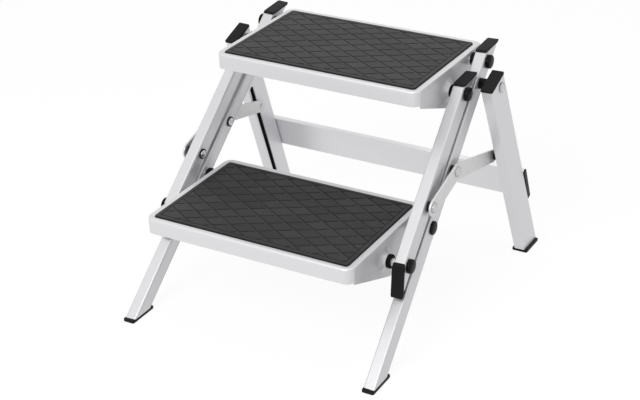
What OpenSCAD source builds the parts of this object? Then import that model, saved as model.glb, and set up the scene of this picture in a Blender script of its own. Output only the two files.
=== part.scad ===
// Folding double entry step: two treads hang between leaning front legs and
// shorter front rails, and braced rear legs open behind them.
// Millimetres, +Z up, +Y to the rear. The origin is on the floor, midway between
// the left and the right feet and between the front and the rear of the feet.

/* [Stance] */
// Room beside a tread, out to the outer side of a front foot
foot_room = 45; // [42:1:50]
// Floor length from the front of the front feet to the back of the rear feet
stance_depth = 540; // [500:1:580]
// Lean of the front legs and rails from upright, in degrees
rail_lean = 47.8; // [47.4:0.1:48.2]
// Inward tilt of each front leg towards the top, in degrees
side_splay = 2.64; // [2.4:0.02:2.8]
// Inward tilt of each rear leg towards the top, in degrees
rear_splay = 1.74; // [1.6:0.02:1.9]
// Gap across the side, at the floor, between a front leg and a rear leg
side_step = 12.5; // [12.3:0.1:13.5]

/* [Tubes] */
// Width of every tube across the step
tube_width = 19; // [18:0.5:20]
// Depth of the front legs and front rails
rail_depth = 28; // [27:0.5:29]
// Depth of the rear legs
rear_depth = 48.5; // [47:0.5:50]
// Wall of the tubes
tube_wall = 1.6; // [1.2:0.1:2]
// Radius on the tubes' long edges
tube_edge = 2; // [1:0.5:3]
// Depth of the fine grooves along the tubes' side faces
groove_depth = 0.3; // [0.2:0.1:0.6]
// Width of each of those grooves
groove_width = 1.2; // [0.8:0.1:1.6]
// Gap between a front rail and the leg behind it
rail_gap = 9; // [8:0.5:10]

/* [Pivots] */
// Distance of the lower tread's pivot along the leg, from the floor
lower_run = 273; // [250:1:296]
// Distance from the lower tread's pivot to the upper tread's
tread_pitch = 288.5; // [280:0.5:310]
// Distance along the leg from the lower tread's pivot to the link's rivet
link_ahead = 97; // [94:1:100]
// Distance along the leg from the rear leg's pivot to the upper tread's
rear_pivot_back = 39.5; // [38:0.5:41]
// Distance of the rear leg's pivot behind the rear leg's front face
rear_pivot_inset = 33.3; // [32:0.1:34]
// Distance along the leg from the upper tread's pivot to the top cut's front edge
leg_top_over = 3; // [2:0.5:5]
// The same distance on a front rail
rail_top_over = 0.3; // [0:0.1:2]
// Distance along a front rail from its lower cut's front edge to its pivot
rail_end_under = 4; // [2:0.5:6]
// Distance along the rail by which a rail pivot trails its leg pivot
pivot_trail = 77; // [75:1:79]
// Radius of the pivot bolts and rivets
bolt_r = 4; // [3.5:0.1:4.5]
// Radial clearance of a tread, a link or a rear leg on its bolt
running_gap = 0.06; // [0.03:0.01:0.1]
// Radius of the silver rivet heads
head_r = 9; // [8:0.5:10]
// Radius of the black knobs at the tread pivots
knob_r = 11.2; // [10:0.1:11.4]
// Height of a knob over its tube
knob_height = 8; // [6:0.5:9]
// Height of the low knob that the folding link passes over
low_knob_height = 4.4; // [3:0.1:4.4]
// Thickness of the black disc between a tread and a leg
disc_thick = 6.5; // [3:0.1:8]
// Radius of the black discs on the front rails
rail_disc_r = 11.5; // [9:0.5:12]
// Thickness of the black discs on the front rails
rail_disc_thick = 9; // [6:0.5:10]
// Side clearance between pieces that turn against each other
side_gap = 0.3; // [0.2:0.05:0.5]

/* [Treads] */
// Width of a tread
tread_width = 360; // [320:1:400]
// Depth of a tread from front to back
tread_depth = 234; // [215:1:250]
// Height of a tread's front face
tread_face = 25; // [22:1:28]
// Radius of a tread's corners
tread_corner = 14; // [10:1:18]
// Radius of a tread's top edge
tread_edge = 3.5; // [2:0.5:4]
// Thickness of the pressed sheet
sheet = 1.8; // [1.4:0.1:2.2]
// Step from a tread's side edge in to its side plate
plate_inset = 3.5; // [3:0.5:5]
// Distance from a tread's front edge to its leg pivot
pivot_setback = 191.5; // [188:0.5:194]
// Depth of a tread's leg pivot below its top edge
pivot_drop = 13.6; // [13:0.2:15]
// Greatest depth of a tread's side plates below its top edge
plate_drop = 79; // [74:1:84]

/* [Mats] */
// Width of the rim left and right of a mat
mat_side_rim = 10; // [8:1:12]
// Width of the rim in front of a mat
mat_front_rim = 9; // [7:1:11]
// Width of the rim behind a mat
mat_rear_rim = 16; // [14:1:18]
// Radius of a mat's corners
mat_corner = 5; // [3:1:8]
// Depth of the pocket that the mat lies in
mat_pocket = 2; // [1.5:0.1:2.4]
// Thickness of a mat
mat_thick = 2.9; // [2.5:0.1:3.5]

/* [Links] */
// Thickness of the link plates
link_thick = 3; // [2.5:0.1:3]
// Half of a link's width
link_half = 14.4; // [13:0.2:15]
// Radius of the link's rear end
link_end_r = 11; // [10:0.5:12]
// Distance down the rear leg, from its pivot, to the sliding pin
pin_reach = 136; // [134:1:138]
// Distance of the sliding pin in front of the line through the rear leg's pivot
pin_lead = 21.8; // [21.4:0.1:22.2]
// Radius of the sliding pin
pin_r = 1.8; // [1.5:0.1:2]
// Distance forward that the sliding pin strays in its slot halfway through the fold
pin_stray = 3; // [2.8:0.1:3.2]
// Distance that the slot runs on above the pin of the opened step
slot_above = 40; // [20:1:60]
// Distance that the slot runs on below the pin, for the fold
slot_below = 180; // [170:1:190]
// Width of the slot that the pin slides in
slot_width = 10.4; // [10.2:0.1:10.6]

/* [Ends] */
// Thickness of the end caps' lids
lid_thick = 4; // [3:0.5:5]
// Lip of caps and front feet around their tube
cap_lip = 0.7; // [0.4:0.1:1]
// Thickness of the soles of the feet
sole_thick = 5; // [4:0.5:6]
// Depth of a plug inside its tube
plug_depth = 14; // [10:1:18]
// Rise of the front caps towards the rear, in degrees
cap_rise = 6.4; // [5:0.2:8]
// Lip of the rear feet beside their leg
rear_foot_lip = 4.4; // [3:0.2:5]

/* [Crossbar] */
// Clearance between the flat crossbar and the tilted rear faces of the legs
bar_gap = 0.25; // [0.2:0.05:0.4]
// Height of the crossbar along the rear legs
bar_height = 63.3; // [60:0.1:66]
// Thickness of the crossbar
bar_thick = 9; // [8:0.5:10]
// Wall of the crossbar
bar_wall = 1.5; // [1.2:0.1:2]
// Distance of the crossbar's lower edge along the rear legs, from the floor
bar_run = 83.5; // [80:0.5:90]
// Thickness of the crossbar's black end caps
bar_cap = 2.5; // [2:0.5:3]

/* [Hidden] */
$fn = 48;

SILVER = "#D2D2D6";
BLACK = "#2B2829";
RUBBER = "#3E3E40";

FAR = 900;
OVER = 30;
foot_span = tread_width + 2 * foot_room;
leg_inner_x = foot_span / 2 - cap_lip - tube_width;
rear_inner_x = leg_inner_x + tube_width + side_step;
front_y = -stance_depth / 2;
leg_toe = front_y + 0.6;
leg_axis = rail_depth / 2;
rail_front = -rail_gap - rail_depth;
rail_axis = rail_front + rail_depth / 2;
rear_toe = stance_depth / 2 - 50;
upper_run = lower_run + tread_pitch;
link_run = lower_run + link_ahead;
rear_run = upper_run - rear_pivot_back;
foot_length = 55;

// A point at a distance along the leg and an offset to the rear of its front
// face, as [y, z] in the step's own frame.
function on_leg(run, offset) = [
    leg_toe + run * sin(rail_lean) + offset * cos(rail_lean),
    run * cos(rail_lean) - offset * sin(rail_lean)];

lower_leg_pivot = on_leg(lower_run, leg_axis);
upper_leg_pivot = on_leg(upper_run, leg_axis);
lower_rail_pivot = on_leg(lower_run - pivot_trail, rail_axis);
upper_rail_pivot = on_leg(upper_run - pivot_trail, rail_axis);
leg_link_pivot = on_leg(link_run, leg_axis);
rail_link_pivot = on_leg(link_run - pivot_trail, rail_axis);
rear_pivot = on_leg(rear_run, leg_axis);

// The rear legs stand on their toe and lean until the pivot lies at its inset
rear_back = rear_toe - rear_pivot[0];
rear_lean = atan2(rear_back, rear_pivot[1]) + asin(rear_pivot_inset / norm([rear_back, rear_pivot[1]]));
slide_pin_at = [
    rear_pivot[0] + pin_reach * sin(rear_lean) - pin_lead * cos(rear_lean),
    rear_pivot[1] - pin_reach * cos(rear_lean) - pin_lead * sin(rear_lean)];
rail_trail = upper_leg_pivot - upper_rail_pivot;

// Distance of the rear leg's pivot along it, from the floor
rear_pivot_run = rear_pivot[1] * cos(rear_lean)
    - (rear_pivot[0] - rear_toe) * sin(rear_lean);

upper_top = upper_leg_pivot[1] + pivot_drop;
lower_top = lower_leg_pivot[1] + pivot_drop;
upper_front = upper_leg_pivot[0] - pivot_setback;
lower_front = lower_leg_pivot[0] - pivot_setback;
plate_x = tread_width / 2 - plate_inset;

// Outer faces of the leg and inner face of the rear leg, at a height
function leg_out_x(z) = leg_inner_x + tube_width - z * tan(side_splay);
function leg_in_x(z) = leg_inner_x - z * tan(side_splay);
function rear_in_x(z) = rear_inner_x - z * tan(rear_splay);
link_x = leg_out_x(lower_leg_pivot[1]) + low_knob_height + side_gap;
bush_end_x = rear_in_x(slide_pin_at[1]) - 1.2;

leg_top_run = upper_run + leg_top_over;
leg_top = on_leg(leg_top_run, 0);
rail_top_run = upper_run - pivot_trail + rail_top_over;
rail_top = on_leg(rail_top_run, rail_front);
rail_end_run = lower_run - pivot_trail - rail_end_under;
rail_end = on_leg(rail_end_run, rail_front);
rail_end_rake = 11.5;
rail_heel_run = rail_end_run - rail_depth / tan(rail_lean - rail_end_rake);
rear_top_over = 15.4;
rear_top_run = rear_pivot_run + rear_top_over;
slot_run_low = rear_pivot_run - pin_reach - slot_below;
slot_run_high = rear_pivot_run - pin_reach + slot_above;
slot_middle = rear_pivot_inset - pin_lead - pin_stray;

// Placement helpers
module on_side(side) mirror([side < 0 ? 1 : 0, 0, 0]) children();

module leg_plane() translate([leg_inner_x, 0, 0]) rotate([0, -side_splay, 0]) children();

module leg_frame() leg_plane() translate([0, leg_toe, 0]) rotate([-rail_lean, 0, 0]) children();

module rear_plane() translate([rear_inner_x, 0, 0]) rotate([0, -rear_splay, 0]) children();

module rear_frame() rear_plane() translate([0, rear_toe, 0]) rotate([rear_lean, 0, 0]) children();

// A cylinder along X from one x to another, at a pivot point [y, z]
module across(point, radius, from_x, to_x)
    translate([from_x, point[0], point[1]]) rotate([0, 90, 0]) cylinder(r = radius, h = to_x - from_x);

// A low rivet head along X, from its flat side outwards
module dome(point, radius, from_x, height, outward = 1)
    translate([from_x, point[0], point[1]]) rotate([0, 90 * outward, 0]) {
        cylinder(r = radius, h = height * 0.45);
        translate([0, 0, height * 0.45]) cylinder(r1 = radius, r2 = radius * 0.72, h = height * 0.55);
    }

// Material on the inner or the outer side of the leg's plane
module inboard_of_leg() difference() {
    children();
    leg_plane() translate([0, -FAR / 2, -OVER]) cube([OVER, FAR, FAR]);
}

module outboard_of_leg() difference() {
    children();
    leg_plane() translate([tube_width - OVER, -FAR / 2, -OVER]) cube([OVER, FAR, FAR]);
}

// Distance of each fine groove from the front face of its tube
rail_grooves = [5, 11, 17, 23];
rear_grooves = [];

module rounded(width, depth, radius) {
    translate([radius, 0]) square([width - 2 * radius, depth]);
    translate([0, radius]) square([width, depth - 2 * radius]);
    for (x = [radius, width - radius], y = [radius, depth - radius])
        translate([x, y]) circle(r = radius);
}

// Section of a tube: rounded long edges, a hollow, and fine grooves on its sides
module tube_section(depth, grooves) difference() {
    rounded(tube_width, depth, tube_edge);
    translate([tube_wall, tube_wall]) square([tube_width - 2 * tube_wall, depth - 2 * tube_wall]);
    for (groove = grooves, x = [-groove_width, tube_width - groove_depth])
        translate([x, groove - groove_width / 2])
            square([groove_depth + groove_width, groove_width]);
}

// Everything above the sloping top cut of a front leg or rail
module above_cut(point, rise, depth = FAR, start = 0)
    leg_plane() translate([-OVER, point[0], point[1]]) rotate([rise, 0, 0])
        translate([0, -FAR / 2, start]) cube([tube_width + 2 * OVER, FAR, depth]);

// The slanting end of a front rail: everything in front of and below its cut
module before_cut(depth = FAR, start = 0)
    leg_plane() translate([-OVER, rail_end[0], rail_end[1]]) rotate([-rail_end_rake, 0, 0])
        translate([0, -depth - start, -FAR / 2]) cube([tube_width + 2 * OVER, depth, FAR]);

module below_floor(height) translate([-FAR, -FAR, -FAR]) cube([2 * FAR, 3 * FAR, FAR + height]);

// Front legs and front rails
module leg(side) color(SILVER) on_side(side) difference() {
    leg_frame() translate([0, 0, -OVER]) linear_extrude(leg_top_run + 4 * OVER)
        tube_section(rail_depth, rail_grooves);
    below_floor(sole_thick);
    above_cut(leg_top, cap_rise);
    for (point = [lower_leg_pivot, upper_leg_pivot, leg_link_pivot, rear_pivot])
        across(point, bolt_r + running_gap, 0, FAR);
}

module rail(side) color(SILVER) on_side(side) difference() {
    leg_frame() translate([0, rail_front, rail_end_run - 3 * OVER])
        linear_extrude(rail_top_run - rail_end_run + 5 * OVER) tube_section(rail_depth, rail_grooves);
    before_cut();
    above_cut(rail_top, cap_rise);
    for (point = [lower_rail_pivot, upper_rail_pivot, rail_link_pivot])
        across(point, bolt_r + running_gap, 0, FAR);
}

// Rear legs with the slot that the links' pins slide in
module rear_leg(side) color(SILVER) on_side(side) difference() {
    rear_frame() translate([0, 0, -OVER]) linear_extrude(rear_top_run + OVER)
        tube_section(rear_depth, rear_grooves);
    below_floor(sole_thick);
    across(rear_pivot, bolt_r + running_gap, 0, FAR);
    rear_frame() translate([-1, slot_middle - slot_width / 2 + 0.1, slot_run_low])
        cube([tube_wall + 2, slot_width - 0.2, slot_run_high - slot_run_low]);
    rear_frame() for (run = [slot_run_low, slot_run_high])
        translate([-1, slot_middle, run]) rotate([0, 90, 0])
            cylinder(r = slot_width / 2, h = tube_wall + 2);
}

// Crossbar: a flat hollow profile on the rear faces of the rear legs
module bar_frame() translate([0, rear_toe, 0]) rotate([rear_lean, 0, 0])
    translate([0, rear_depth + bar_gap, bar_run]) children();

bar_half = rear_in_x(bar_run) + tube_width - bar_cap - 0.5;

module crossbar() color(SILVER) bar_frame() difference() {
    translate([-bar_half, 0, 0]) cube([2 * bar_half, bar_thick, bar_height]);
    translate([-bar_half - 1, bar_wall, bar_wall])
        cube([2 * bar_half + 2, bar_thick - 2 * bar_wall, bar_height - 2 * bar_wall]);
}

module crossbar_end_caps() color(BLACK) bar_frame() for (side = [-1, 1]) on_side(side) {
    translate([bar_half, 0, 0]) cube([bar_cap, bar_thick, bar_height]);
    translate([bar_half - plug_depth, bar_wall, bar_wall])
        cube([plug_depth, bar_thick - 2 * bar_wall, bar_height - 2 * bar_wall]);
}

module crossbar_rivets() color(SILVER) bar_frame()
    for (side = [-1, 1], z = [bar_height * 0.25, bar_height * 0.75]) on_side(side)
        translate([bar_half - plug_depth - bolt_r - 1, bar_thick, z]) rotate([-90, 0, 0])
            cylinder(r1 = bolt_r, r2 = bolt_r * 0.7, h = 1.4);

// Treads: a pressed tray with a rounded top edge, seen as a slab of that form,
// hollowed from below, with a pocket for the mat and two deeper side plates.
module edge_profile(radius, height, edge) {
    square([radius - edge, height]);
    square([radius, height - edge]);
    translate([radius - edge, height - edge]) circle(r = edge);
}

module soft_slab(width, depth, height, corner, edge) {
    for (x = [corner, width - corner], y = [corner, depth - corner])
        translate([x, y, 0]) rotate_extrude() edge_profile(corner, height, edge);
    translate([corner, 0, 0]) cube([width - 2 * corner, depth, height - edge]);
    translate([0, corner, 0]) cube([width, depth - 2 * corner, height - edge]);
    translate([corner, edge, 0]) cube([width - 2 * corner, depth - 2 * edge, height]);
    translate([edge, corner, 0]) cube([width - 2 * edge, depth - 2 * corner, height]);
    for (x = [edge, width - edge])
        translate([x, corner, height - edge]) rotate([-90, 0, 0])
            cylinder(r = edge, h = depth - 2 * corner);
    for (y = [edge, depth - edge])
        translate([corner, y, height - edge]) rotate([0, 90, 0])
            cylinder(r = edge, h = width - 2 * corner);
}

// Outline of a side plate, as y to the rear and z down from the tread's top edge
plate_nose = 8;
plate_low_front = 128;
plate_low_rear = 146;
plate_outline = [[plate_nose, -3], [plate_nose, -tread_face - 3],
    [plate_low_front, -plate_drop], [plate_low_rear, -plate_drop + 3],
    [tread_depth - sheet - 0.5, -tread_face - 3], [tread_depth - sheet - 0.5, -3]];
rim_thick = 4;
lip_width = 9;
corner_wrap = 20;

module tread_shape() difference() {
    union() {
        difference() {
            translate([-tread_width / 2, 0, -tread_face])
                soft_slab(tread_width, tread_depth, tread_face, tread_corner, tread_edge);
            translate([-tread_width / 2 + sheet, sheet, -tread_face - 1]) linear_extrude(
                tread_face + 1 - rim_thick)
                rounded(tread_width - 2 * sheet, tread_depth - 2 * sheet, tread_corner - sheet);
            for (side = [-1, 1]) on_side(side)
                translate([plate_x, corner_wrap, -tread_face - 1])
                    cube([OVER, FAR, tread_face + 0.5 - rim_thick]);
        }
        for (y = [0.5, tread_depth - lip_width - 0.5])
            translate([-tread_width / 2 + tread_corner, y, -tread_face])
                cube([tread_width - 2 * tread_corner, lip_width, sheet]);
        for (side = [-1, 1]) on_side(side)
            translate([plate_x, 0, 0]) rotate([90, 0, -90]) mirror([1, 0, 0])
                linear_extrude(sheet) polygon(plate_outline);
    }
    translate([-tread_width / 2 + mat_side_rim, mat_front_rim, -mat_pocket])
        linear_extrude(mat_pocket + 1) rounded(tread_width - 2 * mat_side_rim,
            tread_depth - mat_front_rim - mat_rear_rim, mat_corner);
    across([pivot_setback, -pivot_drop], bolt_r + running_gap, -FAR, FAR);
    across([pivot_setback - rail_trail[0], -pivot_drop - rail_trail[1]],
        bolt_r + 2 * running_gap, -FAR, FAR);
}

module upper_tread() color(SILVER) translate([0, upper_front, upper_top]) tread_shape();
module lower_tread() color(SILVER) translate([0, lower_front, lower_top]) tread_shape();

mat_gap = 0.2;

module mat_shape() translate([-tread_width / 2 + mat_side_rim + mat_gap, mat_front_rim + mat_gap,
    -mat_pocket]) linear_extrude(mat_thick) rounded(tread_width - 2 * mat_side_rim - 2 * mat_gap,
    tread_depth - mat_front_rim - mat_rear_rim - 2 * mat_gap, mat_corner);

module upper_mat() color(RUBBER) translate([0, upper_front, upper_top]) mat_shape();
module lower_mat() color(RUBBER) translate([0, lower_front, lower_top]) mat_shape();

// Links: a bent flat plate from the rail's rivet past the leg's to the sliding pin
module bar_between(a, b, half) let (run = b - a, size = norm(run))
    translate(a) rotate(atan2(run[1], run[0])) translate([0, -half]) square([size, 2 * half]);

// The flanks lie a little inside the lobes, so each lobe stands proud of them
lobe_proud = 0.4;

module link_lobe(point, radius)
    translate([point[0], point[1], 0]) cylinder(r = radius, h = link_thick);

module link_plate() {
    flank = link_half - lobe_proud;
    tip = link_end_r - lobe_proud;
    arm = slide_pin_at - leg_link_pivot;
    link_lobe(rail_link_pivot, link_half);
    link_lobe(leg_link_pivot, link_half);
    link_lobe(slide_pin_at, link_end_r);
    linear_extrude(link_thick) bar_between(rail_link_pivot, leg_link_pivot, flank);
    linear_extrude(link_thick) translate(leg_link_pivot) rotate(atan2(arm[1], arm[0]))
        polygon([[0, flank], [norm(arm), tip], [norm(arm), -tip], [0, -flank]]);
}

module link(side) color(SILVER) on_side(side) difference() {
    translate([link_x, 0, 0]) rotate([90, 0, 90]) link_plate();
    across(leg_link_pivot, bolt_r + running_gap, 0, FAR);
    across(rail_link_pivot, bolt_r + 2 * running_gap, 0, FAR);
    across(slide_pin_at, pin_r, 0, FAR);
}

bush_r = 7;

module slide_bush(side) color(BLACK) on_side(side) difference() {
    across(slide_pin_at, bush_r, link_x + link_thick, bush_end_x);
    across(slide_pin_at, pin_r, 0, FAR);
}

pin_tip_x = rear_in_x(slide_pin_at[1]) + 7;

module slide_pin(side) color(SILVER) on_side(side) {
    across(slide_pin_at, pin_r, link_x, pin_tip_x);
    dome(slide_pin_at, 5, link_x, 2, -1);
}

// Feet
module front_foot(side) color(BLACK) on_side(side) {
    translate([leg_inner_x - cap_lip, front_y, 0])
        linear_extrude(sole_thick) rounded(tube_width + 2 * cap_lip, foot_length, 3);
    intersection() {
        leg_frame() translate([tube_wall, tube_wall, -OVER])
            cube([tube_width - 2 * tube_wall, rail_depth - 2 * tube_wall, 3 * OVER]);
        translate([0, -FAR / 2, sole_thick - 1]) cube([FAR, FAR, plug_depth]);
    }
}

module rear_foot(side) color(BLACK) on_side(side) {
    translate([rear_inner_x - rear_foot_lip, rear_toe - 1.5, 0])
        linear_extrude(sole_thick)
            rounded(tube_width + 2 * rear_foot_lip, stance_depth / 2 - rear_toe + 1.5, 3);
    intersection() {
        rear_frame() translate([tube_wall, tube_wall, -OVER])
            cube([tube_width - 2 * tube_wall, rear_depth - 2 * tube_wall, 3 * OVER]);
        translate([0, -FAR / 2, sole_thick - 1]) cube([FAR, FAR, plug_depth]);
    }
}

// End caps: a lid a little larger than the tube and a plug inside it
plug_bore = bolt_r + 1;

module leg_prism(front, in) leg_frame() translate([in, front + in, -OVER])
    cube([tube_width - 2 * in, rail_depth - 2 * in, FAR]);

module sloped_cap(point, front, pivot) difference() {
    union() {
        intersection() {
            leg_prism(front, -cap_lip);
            above_cut(point, cap_rise, lid_thick);
        }
        intersection() {
            leg_prism(front, tube_wall);
            above_cut(point, cap_rise, plug_depth + lid_thick / 2, -plug_depth);
        }
    }
    across(pivot, plug_bore, 0, FAR);
}

module leg_top_cap(side) color(BLACK) on_side(side) sloped_cap(leg_top, 0, upper_leg_pivot);
module rail_top_cap(side) color(BLACK) on_side(side) sloped_cap(rail_top, rail_front, upper_rail_pivot);

stop_gap = 0.3;
stop_width = 13;
stop_height = 12;

module rail_end_cap(side) color(BLACK) on_side(side) {
    intersection() {
        leg_prism(rail_front, -cap_lip);
        before_cut(lid_thick);
    }
    difference() {
        intersection() {
            leg_prism(rail_front, tube_wall);
            before_cut(plug_depth + lid_thick / 2, -plug_depth);
        }
        across(lower_rail_pivot, plug_bore, 0, FAR);
    }
    leg_frame() translate([(tube_width - stop_width) / 2, -rail_gap, rail_heel_run - 2])
        cube([stop_width, rail_gap - stop_gap, stop_height]);
}

module rear_top_cap(side) color(BLACK) on_side(side) difference() {
    rear_frame() {
        translate([-cap_lip, -cap_lip, rear_top_run])
            cube([tube_width + 2 * cap_lip, rear_depth + 2 * cap_lip, lid_thick]);
        translate([tube_wall, tube_wall, rear_top_run - plug_depth])
            cube([tube_width - 2 * tube_wall, rear_depth - 2 * tube_wall, plug_depth + lid_thick / 2]);
    }
    across(rear_pivot, plug_bore, 0, FAR);
}

// Tread pivots: bolt, knob outside the tube, disc beside the tread and a sleeve
disc_r = pivot_drop - rim_thick - 0.9;
disc_x = plate_x + side_gap;
bolt_head_x = plate_x - sheet - side_gap;

function knob_over(point) = point == lower_leg_pivot ? low_knob_height : knob_height;

module pivot_bolt(point) {
    across(point, bolt_r, bolt_head_x, leg_out_x(point[1]) + knob_over(point) - 2);
    dome(point, 7, bolt_head_x, 3.5, -1);
}

module pivot_knob(point) outboard_of_leg() let (face = leg_out_x(point[1])) difference() {
    union() {
        across(point, knob_r, face - 2, face + knob_over(point) - 1);
        translate([face + knob_over(point) - 1, point[0], point[1]]) rotate([0, 90, 0])
            cylinder(r1 = knob_r, r2 = knob_r - 1, h = 1);
    }
    across(point, bolt_r, 0, face + knob_over(point) - 2);
}

module pivot_disc(point, radius, thick) difference() {
    across(point, radius, disc_x, disc_x + thick);
    across(point, bolt_r, 0, FAR);
}

sleeve_r = 7;

module pivot_sleeve(point, thick) inboard_of_leg() difference() {
    across(point, sleeve_r, disc_x + thick, leg_in_x(point[1]) + 2);
    across(point, bolt_r, 0, FAR);
}

leg_pivots = [lower_leg_pivot, upper_leg_pivot];
rail_pivots = [lower_rail_pivot, upper_rail_pivot];

module leg_pivot_bolts() color(SILVER) for (side = [-1, 1], p = leg_pivots) on_side(side) pivot_bolt(p);
module leg_pivot_knobs() color(BLACK) for (side = [-1, 1], p = leg_pivots) on_side(side) pivot_knob(p);
module leg_pivot_discs() color(BLACK) for (side = [-1, 1], p = leg_pivots) on_side(side)
    pivot_disc(p, disc_r, disc_thick);
module leg_pivot_sleeves() color(SILVER) for (side = [-1, 1], p = leg_pivots) on_side(side)
    pivot_sleeve(p, disc_thick);
module rail_pivot_bolts(side) color(SILVER) on_side(side) for (p = rail_pivots) pivot_bolt(p);
module rail_pivot_knobs(side) color(BLACK) on_side(side) for (p = rail_pivots) pivot_knob(p);
module rail_pivot_discs(side) color(BLACK) on_side(side) for (p = rail_pivots)
    pivot_disc(p, rail_disc_r, rail_disc_thick);
module rail_pivot_sleeves(side) color(SILVER) on_side(side) for (p = rail_pivots)
    pivot_sleeve(p, rail_disc_thick);

// Link rivets: heads outside the link and inside the tube, a spacer and a washer
rivet_head = 1.7;
washer_thick = 1.5;

module link_rivet(point) {
    inner = leg_in_x(point[1]) - washer_thick - 0.5;
    across(point, bolt_r, inner, link_x + link_thick + side_gap);
    dome(point, head_r, link_x + link_thick + side_gap, rivet_head);
    dome(point, 6.5, inner, 2, -1);
}

module link_spacer(point) outboard_of_leg() difference() {
    across(point, head_r - 0.5, leg_out_x(point[1]) - 2, link_x - side_gap);
    across(point, bolt_r, 0, FAR);
}

module link_washer(point) inboard_of_leg() difference() {
    across(point, head_r - 0.5, leg_in_x(point[1]) - washer_thick - 0.5, leg_in_x(point[1]) + 2);
    across(point, bolt_r, 0, FAR);
}

module leg_link_rivets() color(SILVER) for (side = [-1, 1]) on_side(side) link_rivet(leg_link_pivot);
module leg_link_spacers() color(BLACK) for (side = [-1, 1]) on_side(side) link_spacer(leg_link_pivot);
module leg_link_washers() color(BLACK) for (side = [-1, 1]) on_side(side) link_washer(leg_link_pivot);
module rail_link_rivet(side) color(SILVER) on_side(side) link_rivet(rail_link_pivot);
module rail_link_spacer(side) color(BLACK) on_side(side) link_spacer(rail_link_pivot);
module rail_link_washer(side) color(BLACK) on_side(side) link_washer(rail_link_pivot);

// Rear leg pivots
rear_face_gap = 0.6;

module rear_pivot_bolts() color(SILVER) for (side = [-1, 1]) on_side(side) {
    inner = leg_in_x(rear_pivot[1]) - 0.5;
    outer = rear_in_x(rear_pivot[1]) + tube_width + rear_face_gap;
    inboard_of_leg() dome(rear_pivot, 7.5, inner + 2.5, 5, -1);
    across(rear_pivot, bolt_r, inner, outer);
    dome(rear_pivot, head_r, outer, 2.6);
}

module rear_pivot_spacers() color(BLACK) for (side = [-1, 1]) on_side(side) outboard_of_leg()
    difference() {
        across(rear_pivot, head_r, leg_out_x(rear_pivot[1]) - 2,
            rear_in_x(rear_pivot[1]) - rear_face_gap);
        across(rear_pivot, bolt_r, 0, FAR);
    }

leg(-1);  // front_leg_left
leg(1);  // front_leg_right
rail(-1);  // front_rail_left
rail(1);  // front_rail_right
rear_leg(-1);  // rear_leg_left
rear_leg(1);  // rear_leg_right
crossbar();
crossbar_end_caps();
crossbar_rivets();
upper_tread();
lower_tread();
upper_mat();
lower_mat();
link(-1);  // link_left
link(1);  // link_right
slide_bush(-1);  // slide_bush_left
slide_bush(1);  // slide_bush_right
slide_pin(-1);  // slide_pin_left
slide_pin(1);  // slide_pin_right
front_foot(-1);  // front_foot_left
front_foot(1);  // front_foot_right
rear_foot(-1);  // rear_foot_left
rear_foot(1);  // rear_foot_right
leg_top_cap(-1);  // leg_top_cap_left
leg_top_cap(1);  // leg_top_cap_right
rail_top_cap(-1);  // rail_top_cap_left
rail_top_cap(1);  // rail_top_cap_right
rail_end_cap(-1);  // rail_end_cap_left
rail_end_cap(1);  // rail_end_cap_right
rear_top_cap(-1);  // rear_top_cap_left
rear_top_cap(1);  // rear_top_cap_right
leg_pivot_bolts();
leg_pivot_knobs();
leg_pivot_discs();
leg_pivot_sleeves();
rail_pivot_bolts(-1);  // rail_pivot_bolts_left
rail_pivot_bolts(1);  // rail_pivot_bolts_right
rail_pivot_knobs(-1);  // rail_pivot_knobs_left
rail_pivot_knobs(1);  // rail_pivot_knobs_right
rail_pivot_discs(-1);  // rail_pivot_discs_left
rail_pivot_discs(1);  // rail_pivot_discs_right
rail_pivot_sleeves(-1);  // rail_pivot_sleeves_left
rail_pivot_sleeves(1);  // rail_pivot_sleeves_right
leg_link_rivets();
leg_link_spacers();
leg_link_washers();
rail_link_rivet(-1);  // rail_link_rivet_left
rail_link_rivet(1);  // rail_link_rivet_right
rail_link_spacer(-1);  // rail_link_spacer_left
rail_link_spacer(1);  // rail_link_spacer_right
rail_link_washer(-1);  // rail_link_washer_left
rail_link_washer(1);  // rail_link_washer_right
rear_pivot_bolts();
rear_pivot_spacers();
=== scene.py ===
import math

import bmesh
import bpy
import numpy as np
from mathutils import Matrix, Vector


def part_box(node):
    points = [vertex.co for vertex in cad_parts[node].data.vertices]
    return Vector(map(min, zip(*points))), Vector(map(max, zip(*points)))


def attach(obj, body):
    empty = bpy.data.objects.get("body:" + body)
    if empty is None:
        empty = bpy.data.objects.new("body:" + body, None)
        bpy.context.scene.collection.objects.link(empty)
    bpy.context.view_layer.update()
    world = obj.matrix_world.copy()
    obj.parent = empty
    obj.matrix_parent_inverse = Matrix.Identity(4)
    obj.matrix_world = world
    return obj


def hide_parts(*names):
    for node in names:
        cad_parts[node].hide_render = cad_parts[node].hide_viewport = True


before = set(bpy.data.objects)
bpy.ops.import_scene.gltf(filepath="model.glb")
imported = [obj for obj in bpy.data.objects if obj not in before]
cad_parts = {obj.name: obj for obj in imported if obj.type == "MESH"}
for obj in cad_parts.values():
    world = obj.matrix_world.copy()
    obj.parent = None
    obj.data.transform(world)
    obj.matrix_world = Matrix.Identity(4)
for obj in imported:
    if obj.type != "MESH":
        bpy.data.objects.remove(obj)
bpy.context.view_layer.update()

# The two mats.
# Black rubber sheets moulded with a diamond grid, laid in the treads' pockets
# and glued down, with a bevelled border round the diamonds. Their grooves and
# outer edge are darkened in the colour as painted shade.
MAT_HALF = 169.8
MAT_DEPTH = 211.0
MAT_CORNER = 5.0
MAT_TOP = 1.9
MAT_BOTTOM = -2.0
MAT_START = 9.2
DIAMOND_WIDE = 48.4
DIAMOND_DEEP = 28.1
DIAMOND_PHASE = 179.25
SHORT_LINE = 0.82
GROOVE_HALF = 1.3
GROOVE_DEEP = 0.8
BORDER = 7.6
BEVEL = 1.4
BEVEL_DEEP = 0.8


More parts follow.
